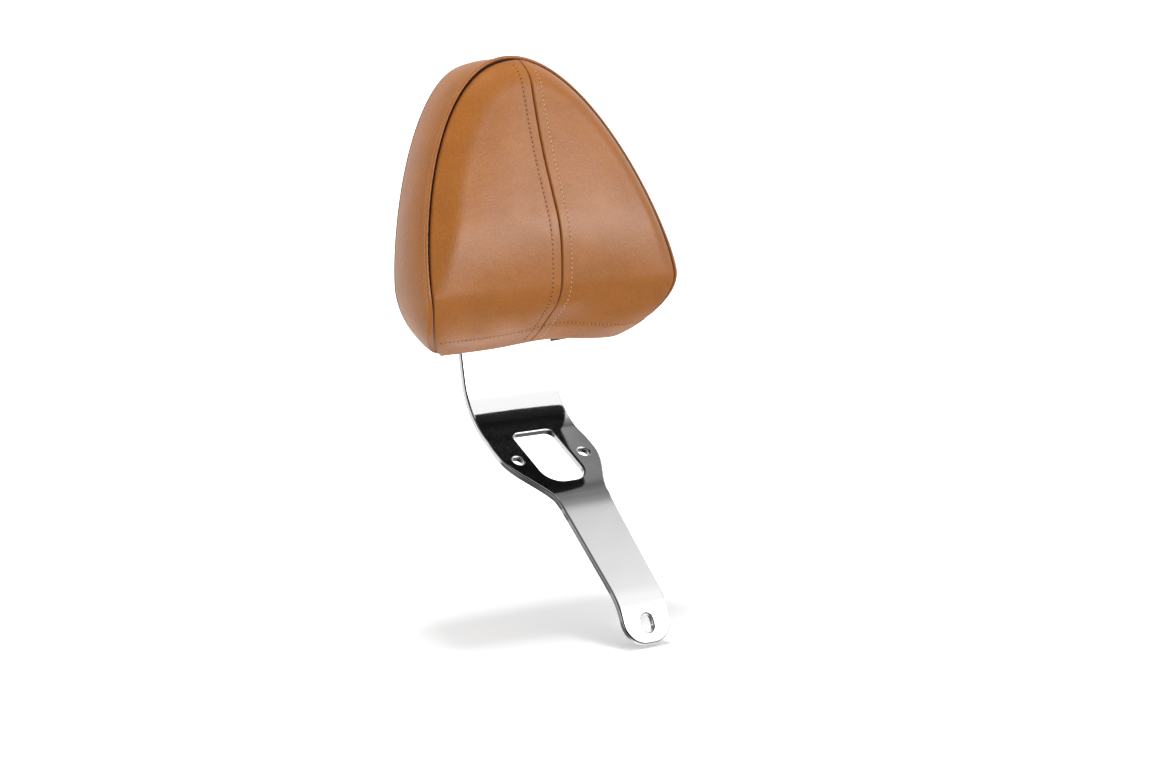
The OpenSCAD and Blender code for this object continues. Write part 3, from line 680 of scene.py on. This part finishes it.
def blowCover():
    blocks = [padBlock(front, cover["smaller"], pad["hemUp"], inner)
              for front, inner in ((True, -cover["overlap"]), (False, cover["overlap"]))]
    points = np.concatenate([block[0] for block in blocks])
    faces = np.concatenate([blocks[0][1], blocks[1][1] + len(blocks[0][0])])
    mesh = bpy.data.meshes.new("coverForm")
    mesh.from_pydata((points * mm).tolist(), [], faces.tolist())
    form = addObject("coverForm", mesh)
    remesh = form.modifiers.new("even mesh", "REMESH")
    remesh.mode = "VOXEL"
    remesh.voxel_size = cover["voxel"] * mm
    evaluated = form.evaluated_get(bpy.context.evaluated_depsgraph_get())
    cloth = addObject("coverCloth", bpy.data.meshes.new_from_object(evaluated))
    bpy.data.objects.remove(form)
    place = np.empty(len(cloth.data.vertices) * 3)
    cloth.data.vertices.foreach_get("co", place)
    place = place.reshape(-1, 3) / mm
    x, t, n = place.T
    free = np.where(n > seamAt(t) - cover["overlap"], openShare(x, t, 0, cover["seamHold"]),
                    np.where(n < cover["backTo"], openShare(x, t, 1, cover["seamHold"]), cover["wallFree"]))
    held = np.round(10 * (1 - free)).astype(int)
    seams = cloth.vertex_groups.new(name="seams")
    for tenth in range(1, 11):
        seams.add(np.nonzero(held == tenth)[0].tolist(), tenth / 10, "REPLACE")
    blow = cloth.modifiers.new("blown cover", "CLOTH")
    blow.settings.vertex_group_mass = "seams"
    blow.settings.use_pressure = True
    blow.settings.uniform_pressure_force = cover["pressure"]
    blow.settings.effector_weights.gravity = 0
    for step in range(1, cover["steps"] + 1):
        bpy.context.scene.frame_set(step)
    evaluated = cloth.evaluated_get(bpy.context.evaluated_depsgraph_get())
    moved = np.empty(len(place) * 3)
    evaluated.data.vertices.foreach_get("co", moved)
    rise = np.clip((moved.reshape(-1, 3) / mm - place)[:, 2], -cover["cap"], cover["cap"])
    bpy.data.objects.remove(cloth)
    bpy.context.scene.frame_set(1)
    print("cover blown up as cloth: rise", rise.min().round(2), "to", rise.max().round(2), "mm")
    front, back = n > cover["frontFrom"], n < cover["backTo"]
    return {0: (place[front, :2], rise[front]), 1: (place[back, :2], rise[back])}


blown = blowCover()


def coverRise(x, t, v):  # the blown cover's rise, as a mean with weights exp(-distance^2 / 2 reach^2)
    if blown is None:
        return 0 * x
    spots, rise = blown[v]
    at = np.stack([x.ravel(), t.ravel()], -1)
    parts = []
    for part in np.array_split(at, max(1, len(at) // 2000)):
        apart = ((part[:, None] - spots[None]) ** 2).sum(2)
        weight = np.exp(-apart / (2 * cover["reach"] ** 2)) + 1e-12
        parts.append((weight * rise).sum(1) / weight.sum(1))
    return np.concatenate(parts).reshape(x.shape) * openShare(x, t, v, cover["seamHold"])


leather = tanLeather()
panelGrid = dict(cols=96, rows=150)


def frontSkinHeight(x, t, spot):  # with the relief of its seams
    return frontSurface(spot, t) + seam["gap"] + seamRelief(x) + hemRelief(t) + coverRise(spot, t, 0)


def frontPanel(side):
    f, g = np.meshgrid(shares(panelGrid["cols"]), shares(panelGrid["rows"]))
    place = panelPlace(0, pad["edgeInset"], pad["hemUp"], seam["gap"] / 2, f, g)
    x, t = place[..., 0], place[..., 1]
    spot = leanSeam(side * x, t)
    n = frontSkinHeight(x, t, spot) - hemCurl(t) - edgeFold(x, t)
    points = fromPad(spot, t + hemWave(spot, t), n).reshape(-1, 3)
    quads = gridQuads(panelGrid["rows"], panelGrid["cols"])
    # painted shade: 1 where the edge turns down into the seam and in the centre groove
    deep = np.maximum(edgeFold(x, t) / pad["edgeRound"], 0.8 * np.maximum(0, 1 - x / 0.9))
    return points, quads if side > 0 else quads[:, ::-1], deep


def finishLeather(piece, node):
    # The polished steel doesn't mirror the leather, as in the photograph: it shows what is dark beneath
    piece.visible_glossy = False
    shell = piece.modifiers.new("leather thickness", "SOLIDIFY")
    shell.thickness = pad["leather"] * mm
    shell.offset = -1.0
    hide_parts(node)


for side, name in ((-1, "Left"), (1, "Right")):
    points, quads, deep = frontPanel(side)
    finishLeather(makePiece("frontPanel" + name, points, quads, leather, seam=deep),
                  "cover_front_" + name.lower())
print("front panels made")

# Profile across the side band at the front seam, in mm: out from the band, and forward of the seam
lipProfile = np.array([(-2.8, -3.5), (-2.0, -2.8), (-1.0, -1.7), (-0.35, -0.8), (0.15, 0.4), (0.95, 0.95),
                       (1.85, 0.75), (2.45, -0.2), (2.35, -1.6), (1.7, -2.8), (1.1, -3.6), (0.95, -5.4),
                       (0.9, -6.9), (0.35, -7.7), (0.15, -8.4)])
band = dict(
    lipRows=40, plainRows=46, around=420, lipEnd=8.4, stitchRow=7.6, proud=0.15, bulge=0.5,
    crownBulge=1.0, crownSpread=0.4, backRoll=1.5, backRollWidth=3.5, backRollPower=2.2,
    hemLift=2.8, liftFade=16.0,
)


bandDepth = pad["seamDepth"] + pad["backDepth"]


def smoothCurve(points, count):  # a curve through the points, by Catmull-Rom's rule
    ends = np.concatenate([2 * points[:1] - points[1:2], points, 2 * points[-1:] - points[-2:-1]])
    at = np.linspace(0, len(points) - 1.000001, count)
    k = at.astype(int)
    u = (at - k)[:, None]
    a, b, c, d = (ends[k + i] for i in range(4))
    curve = 2 * b + (c - a) * u + (2 * a - 5 * b + 4 * c - d) * u ** 2 + (3 * b - a - 3 * c + d) * u ** 3
    return curve / 2


def bandPoint(w, v, out, forward):
    # w runs from the left hem (0) over the crown (2) to the right hem (4), v from the front seam back
    side = np.where(w < 2, -1.0, 1.0)
    step = np.where(w < 2, w, 4 - w)
    a = stepAngle(step, outLow(v, -out, pad["hemUp"]))
    x, t = outline(v, -out, a)
    a0 = stepAngle(step, outLow(0, 0.0, pad["hemUp"]))
    a1 = stepAngle(step, outLow(1, 0.0, pad["hemUp"]))
    front = seamAt(outline(0, 0.0, a0)[1])
    back = backAt(outline(1, 0.0, a1)[1], 0.0)
    return side * x, t, front + (back - front) * v + forward


def bandRelief(back, more):
    # Behind the lip the band bulges softly, more over the crown, and rolls down into the seam at the back
    rest = bandDepth - back
    share = np.clip((back - band["lipEnd"]) / (bandDepth - band["lipEnd"]), 0, 1)
    roll = band["backRoll"] * np.maximum(0, 1 - rest / band["backRollWidth"]) ** band["backRollPower"]
    return band["proud"] + (band["bulge"] + more) * np.sin(np.pi * share) - roll


def crownMore(w):  # more bulge over the crown, in a bell curve round it
    return band["crownBulge"] * np.exp(-((w - 2) / band["crownSpread"]) ** 2)


def bandHem(t, behind):  # the band's own hem stands a little higher than the front's
    return band["hemLift"] * (1 - behind) * (1 - smoothStep((t - pad["hemUp"]) / band["liftFade"]))


def sideBand():
    lip = smoothCurve(lipProfile, band["lipRows"])
    back = band["lipEnd"] + (bandDepth - band["lipEnd"]) * shares(band["plainRows"])[1:]
    behind = np.concatenate([np.maximum(0, -lip[:, 1]), back]) / bandDepth
    forward = np.concatenate([np.maximum(0, lip[:, 1]), 0 * back])
    w, row = np.meshgrid(4 * shares(band["around"]), np.arange(len(behind)))
    out = np.concatenate([np.repeat(lip[:, :1], w.shape[1], 1), bandRelief(back[:, None], crownMore(w[:1]))])
    x, t, n = bandPoint(w, behind[row], out, forward[row])
    x = x - np.sign(x) * hemCurl(t)
    points = fromPad(x, t + bandHem(t, behind[row]), n).reshape(-1, 3)
    # painted shade: on the lip's inner wall and where the band rolls down into the back seam
    inner = np.clip((-0.1 - lip[:, 0]) / 0.8, 0, 1) * (np.arange(len(lip)) < len(lip) / 3)
    deep = np.concatenate([inner, np.maximum(0, 1 - (bandDepth - back) / 1.6)])[row]
    return points, gridQuads(*w.shape), deep


points, quads, deep = sideBand()
finishLeather(makePiece("sideBand", points, quads, leather, seam=deep), "cover_side_band")


def backPanel():
    x, t = wholePanel(1, 0.0, pad["hemUp"], panelGrid["cols"] // 2 + 1, panelGrid["rows"] // 2)
    n = backSurface(x, t) - seam["gap"] + hemCurl(t) + coverRise(x, t, 1)
    points = fromPad(x, t, n).reshape(-1, 3)
    # painted shade: along the back panel's edge where it meets the seam
    deep = np.maximum(0, 1 - fromEdge(x, t, 1, 0.0)[1] / 1.2)
    return points, gridQuads(*x.shape)[:, ::-1], deep


points, quads, deep = backPanel()
finishLeather(makePiece("backPanel", points, quads, leather, seam=deep), "cover_back_panel")
print("side band and back panel made")


# Stitches: short threads laid along a row, with a dark dot of painted shade for the needle's hole between
# them

thread = dict(
    pitch=3.4, length=2.0, width=0.75, tall=0.5, proud=0.12, rings=7, sides=8, holeProud=0.08, holeSides=10,
)


def rowFrames(curve, surface, pitch):
    # Places a pitch apart along a curve of surface parameters, with the tangent there
    dense = surface(*curve)
    run = np.concatenate([[0], np.cumsum(np.linalg.norm(np.diff(dense, axis=0), axis=1))])
    count = int(run[-1] / pitch)
    at = (np.arange(count) + 0.5) * run[-1] / count

    def spot(distance):
        p = [np.interp(distance, run, c) for c in curve]
        return p, surface(*p)
    middle, place = spot(at)
    tangent = spot(at + 0.3)[1] - spot(at - 0.3)[1]
    tangent /= np.linalg.norm(tangent, axis=1)[:, None]
    return at, run, middle, place, tangent


def threads(places, tangents, normals):
    # Each thread is an ellipsoid stretched along the row: x = length sin(q), y, z = width, height cos(q)
    q = np.linspace(-np.pi / 2, np.pi / 2, thread["rings"])[:, None]
    p = np.linspace(0, 2 * np.pi, thread["sides"], endpoint=False)[None]
    fat = np.cos(q) ** 0.6
    local = np.stack([thread["length"] / 2 * np.sin(q) + 0 * p, thread["width"] / 2 * fat * np.cos(p),
                      thread["tall"] / 2 * fat * np.sin(p)], -1).reshape(-1, 3)
    cross = np.cross(normals, tangents)
    axes = np.stack([tangents, cross, normals], 1)
    points = places[:, None] + np.einsum("mk,nkj->nmj", local, axes)
    i = np.arange(thread["rings"] * thread["sides"]).reshape(thread["rings"], thread["sides"])
    j = np.roll(i, -1, axis=1)
    quads = np.stack([i[:-1], j[:-1], j[1:], i[1:]], -1).reshape(-1, 4)
    faces = (quads[None] + (np.arange(len(places)) * len(local))[:, None, None]).reshape(-1, 4)
    return points.reshape(-1, 3), faces


# The dots are painted shade: flat dark discs for the needle holes' shadow
def holes(places, tangents, normals, across):  # a flat ring of points round each place
    p = np.linspace(0, 2 * np.pi, thread["holeSides"], endpoint=False)
    r = across / 2
    cross = np.cross(normals, tangents)
    points = (places[:, None] + r * np.cos(p)[None, :, None] * tangents[:, None]
              + r * np.sin(p)[None, :, None] * cross[:, None])
    return points.reshape(-1, 3), np.arange(len(places) * len(p)).reshape(-1, len(p))


def surfaceNormals(surface, middle):  # the cross product of small steps across both parameters
    e = 0.02
    a = surface(middle[0] + e, middle[1]) - surface(middle[0] - e, middle[1])
    b = surface(middle[0], middle[1] + e) - surface(middle[0], middle[1] - e)
    normal = np.cross(a, b)
    return normal / np.linalg.norm(normal, axis=1)[:, None]


def frontSkin(x, t):
    spot = leanSeam(x, t)
    return fromPad(spot, t + hemWave(spot, t), frontSkinHeight(x, t, spot))


def bandSkin(w, back):
    lip = smoothCurve(lipProfile, 200)[120:]   # the part behind the fold
    onLip = np.interp(back, -lip[:, 1], lip[:, 0])
    out = np.where(back < band["lipEnd"], onLip, bandRelief(back, crownMore(w)))
    x, t, n = bandPoint(w, back / bandDepth, out, 0.0)
    return fromPad(x, t + bandHem(t, back / bandDepth), n)


def stitchRow(name, curve, surface, material, across):
    at, run, middle, place, tangent = rowFrames(curve, surface, thread["pitch"])
    normal = surfaceNormals(surface, middle)
    flip = ((place - padMiddle) * normal).sum(1) < 0
    normal[flip] *= -1
    points, faces = threads(place + thread["proud"] * normal, tangent, normal)
    row = makePiece(name, points, faces, material)
    between = [np.interp(at + thread["pitch"] / 2, run, c) for c in curve]
    spots = surface(*between)
    # painted shade: a dark disc for each needle hole, between the threads
    dots, rings = holes(spots + thread["holeProud"] * normal, tangent, normal, across)
    for piece in (row, makePiece(name + "Holes", dots, rings, holeShadeMaterial)):
        piece.visible_glossy = False


# dark dots of painted shade for the needle holes
holeShadeMaterial = needleHoleShade()
# The pale thread is the tan thread painted lighter, a painted highlight for the row that catches the light
litThreadCopy = threadMaterial("tan polyester thread painted lit", "#D3A26C")
tanThread = threadMaterial("tan polyester thread", "#B47A45")
padMiddle = fromPad(np.array([0.0]), np.array([110.0]), np.array([20.0]))
rowHeights = np.linspace(pad["hemUp"] + 1.5, outTop(0, 0) - 5.5, 500)
# Right row in the lighter copy of the thread, a painted highlight; left row in the tan thread with larger
# dots of painted shade, as it faces away from the light
for side, threadKind, across, name in ((-1, tanThread, 1.15, "Left"), (1, litThreadCopy, 0.7, "Right")):
    row = np.full(rowHeights.shape, side * seam["allowance"])
    stitchRow("centreStitches" + name, [row, rowHeights], frontSkin, threadKind, across)
around = np.linspace(0.02, 3.98, 1200)
stitchRow("lipStitches", [around, np.full(around.shape, band["stitchRow"])], bandSkin, tanThread, 1.5)
hemRow = pad["hemUp"] + hem["row"]
hemStart = outline(0, pad["edgeInset"], outLow(0, pad["edgeInset"], hemRow))[0] - 0.8
hemAcross = np.linspace(-hemStart, hemStart, 600)
stitchRow("hemStitches", [hemAcross, np.full(hemAcross.shape, hemRow)], frontSkin, tanThread, 1.0)
print("stitches made")


# Foam, seen only from below past the hem and in the chrome

foamCut = dict(inset=4.5, up=7.0, boardFront=9.4, boardBack=-0.4)
foam = charcoalFoam()
for front, name, node in ((True, "frontFoam", "front_foam"), (False, "backFoam", "back_foam")):
    inner = foamCut["boardFront"] if front else foamCut["boardBack"]
    block, faces = padBlock(front, foamCut["inset"], pad["hemUp"] + foamCut["up"], inner)
    piece = makePiece(name, fromPad(*block.T), faces, foam)
    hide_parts(node)
print("foam made")


# Finishes of the solids that stay as they are

plywood = birchPlywood()
zinc = zincSteel()
for nodeName, finish in (("back_board", plywood), ("plate_bolts", zinc), ("plate_washers", zinc),
                         ("tee_nuts", zinc)):
    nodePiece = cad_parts[nodeName]
    nodePiece.data.materials.clear()
    nodePiece.data.materials.append(finish)


# Studio: pale floor, white surroundings, soft boxes

studio = dict(
    floorLevel=-0.0145, floorSize=14.0, floorColor="#F6F6F6",
    glowNear=0.16, glowFar=0.42, glowLow=0.1,    # metres from the slot: nearer, the floor keeps its shadow
    aim=(0, 0.1, 0.14), ambientLow=0.55, ambientHigh=0.75,
)
softBoxes = dict(
    keyBox=dict(at=(1.0, -1.88, 0.98), size=(3.7, 1.05), power=21.0),
    sheenBox=dict(at=(1.0, -1.88, 0.98), size=(3.7, 1.05), power=108.0, lights=False),   # the shine alone
    fillBox=dict(at=(-2.2, -0.2, 0.7), size=(1.4, 1.4), power=13.0, shines=False),
    topBox=dict(at=(0.1, 0.45, 1.75), size=(0.4, 0.4), power=17.0, shines=False),        # the floor's shadow
)


def softBox(name, at, size, power, shines=True, lights=True):
    lamp = bpy.data.lights.new(name, "AREA")
    lamp.shape = "RECTANGLE"
    lamp.size, lamp.size_y = size
    lamp.energy = power
    light = addObject(name, lamp)
    light.location = at
    light.rotation_mode = "QUATERNION"
    light.rotation_quaternion = (Vector(studio["aim"]) - Vector(at)).to_track_quat("-Z", "Y")
    light.visible_glossy = shines
    light.visible_diffuse = lights


for name, box in softBoxes.items():
    softBox(name, **box)

half, level = studio["floorSize"] / 2, studio["floorLevel"]
floorMesh = bpy.data.meshes.new("floor")
corners = [(-half, -half, level), (half, -half, level), (half, half, level), (-half, half, level)]
floorMesh.from_pydata(corners, [], [(0, 1, 2, 3)])
floor = addObject("floor", floorMesh)
sweep, tree, place = newMaterial("white paper sweep")
paper = addNode(tree, "BsdfDiffuse", {"Color": linearColor(studio["floorColor"])})
rays = addNode(tree, "LightPath").outputs
lit = addNode(tree, "Math", {0: rays["Is Camera Ray"], 1: rays["Is Glossy Ray"]}, operation="MAXIMUM")
lit = addNode(tree, "Math", {0: lit, 1: rays["Is Transmission Ray"]}, operation="MAXIMUM")
away = addNode(tree, "VectorMath", {0: place}, operation="LENGTH")
far = addNode(tree, "MapRange", {
    "Value": away, "From Min": studio["glowNear"], "From Max": studio["glowFar"],
    "To Min": studio["glowLow"]})
share = addNode(tree, "Math", {0: lit, 1: far}, operation="MULTIPLY")
glow = addNode(tree, "Emission", {"Strength": share})
both = addNode(tree, "AddShader", {0: paper, 1: glow})
floorMesh.materials.append(finished(sweep, both))
floor.visible_glossy = False   # the world's lower half stands in for it in the shine

room = dict(    # what the shine sees: each zone is where it starts and ends, and its shade there
    ceiling=((0.5, 1.0), (0.68, 0.88), (0.78, 0.6), (0.82, 0.3), (0.89, 0.12), (1.0, 0.05)), ceilingTilt=0.5,
    cameraSide=(-0.579, -0.797, 0.174), cameraZone=(0.62, 0.86, 1.0, 0.03),    # dark round the camera
    leftZone=(-0.3, 0.2, 0.14, 1.08), rightZone=(0.66, 0.9, 1.0, 0.5),         # dimmer on both sides
    horizonDown=0.174, horizonZone=(0.03, 0.09, 0.85, 0.0),    # but for the strip where the lit floor ends
    floorZone=(-0.42, -0.12, 0.12, 1.0), rearZone=(0.0, 0.3, 0.0, 1.0),    # the floor in the pad's own shade
)


def zoneEnds(name):  # a zone of the room as inputs of Map Range
    return dict(zip(("From Min", "From Max", "To Min", "To Max"), room[name]))


world = bpy.data.worlds.new("studio")
bpy.context.scene.world = world
world.use_nodes = True
tree = world.node_tree
tree.nodes.clear()
direction = addNode(tree, "TexCoord").outputs["Generated"]
parts = addNode(tree, "SeparateXYZ", {"Vector": direction}).outputs
above = addNode(tree, "Math", {
    0: parts["Y"], 1: room["ceilingTilt"], 2: parts["Z"]}, operation="MULTIPLY_ADD")
ceiling = addNode(tree, "ValToRGB", {"Fac": above})
ramp = ceiling.color_ramp   # white walls, a grey front ceiling and a dark one overhead and behind
for at, level in room["ceiling"]:
    stop = ramp.elements.new(at)
    stop.color = (level, level, level, 1)
while ramp.elements[0].position < 0.3:
    ramp.elements.remove(ramp.elements[0])
aside = addNode(tree, "VectorMath", {0: direction, 1: room["cameraSide"]}, operation="DOT_PRODUCT")
level = addNode(tree, "MapRange", {
    "Value": aside, **zoneEnds("cameraZone")}, interpolation_type="SMOOTHSTEP")
left = addNode(tree, "MapRange", {"Value": parts["X"], **zoneEnds("leftZone")})
low = addNode(tree, "Math", {0: parts["Z"], 1: room["horizonDown"]}, operation="ADD")
low = addNode(tree, "Math", {0: low}, operation="ABSOLUTE")
horizon = addNode(tree, "MapRange", {"Value": low, **zoneEnds("horizonZone")})
left = addNode(tree, "Math", {0: left, 1: horizon}, operation="MAXIMUM")
below = addNode(tree, "MapRange", {"Value": parts["Z"], **zoneEnds("floorZone")})
rear = addNode(tree, "MapRange", {"Value": parts["Y"], **zoneEnds("rearZone")})
below = addNode(tree, "Math", {0: below, 1: rear}, operation="MAXIMUM")
right = addNode(tree, "MapRange", {"Value": parts["X"], **zoneEnds("rightZone")})
for zone in (left, below, right):
    level = addNode(tree, "Math", {0: level, 1: zone}, operation="MULTIPLY")
shiny = addNode(tree, "Background", {"Color": ceiling, "Strength": level})
high = addNode(tree, "MapRange", {
    "Value": parts["Z"], "To Min": studio["ambientLow"], "To Max": studio["ambientHigh"]})
soft = addNode(tree, "Background", {"Color": (1, 1, 1, 1), "Strength": high})
white = addNode(tree, "Background", {"Color": (1, 1, 1, 1)})
rays = addNode(tree, "LightPath").outputs
lit = addNode(tree, "MixShader", {0: rays["Is Glossy Ray"], 1: soft, 2: shiny})
seen = addNode(tree, "Math", {0: rays["Is Camera Ray"], 1: rays["Is Transmission Ray"]}, operation="MAXIMUM")
both = addNode(tree, "MixShader", {0: seen, 1: lit, 2: white})
addNode(tree, "OutputWorld", {"Surface": both})
bpy.context.scene.view_settings.view_transform = "Standard"


# Camera, as a photographer would set it: turned 36 degrees, looking 10 degrees down

view = dict(turn=36.0, down=10.26, distance=2485.5, right=47.11, up=-3.04, lens=107.2,
            target=(0.0, 160.843, 149.246))
turn, down = math.radians(view["turn"]), math.radians(view["down"])
rightDir = np.array([math.cos(turn), -math.sin(turn), 0])
upDir = np.array([math.sin(turn) * math.sin(down), math.cos(turn) * math.sin(down), math.cos(down)])
backDir = np.cross(rightDir, upDir)
eye = np.array(view["target"]) + view["distance"] * backDir + view["right"] * rightDir + view["up"] * upDir
cameraData = bpy.data.cameras.new("camera")
cameraData.lens = view["lens"]
cameraData.sensor_width = 36.0
cameraData.clip_end = 50
camera = addObject("camera", cameraData)
turned = np.stack([rightDir, upDir, backDir], 1)
camera.matrix_world = Matrix(np.block([
    [turned, (eye * mm)[:, None]], [np.zeros((1, 3)), np.ones((1, 1))]]).tolist())
bpy.context.scene.camera = camera
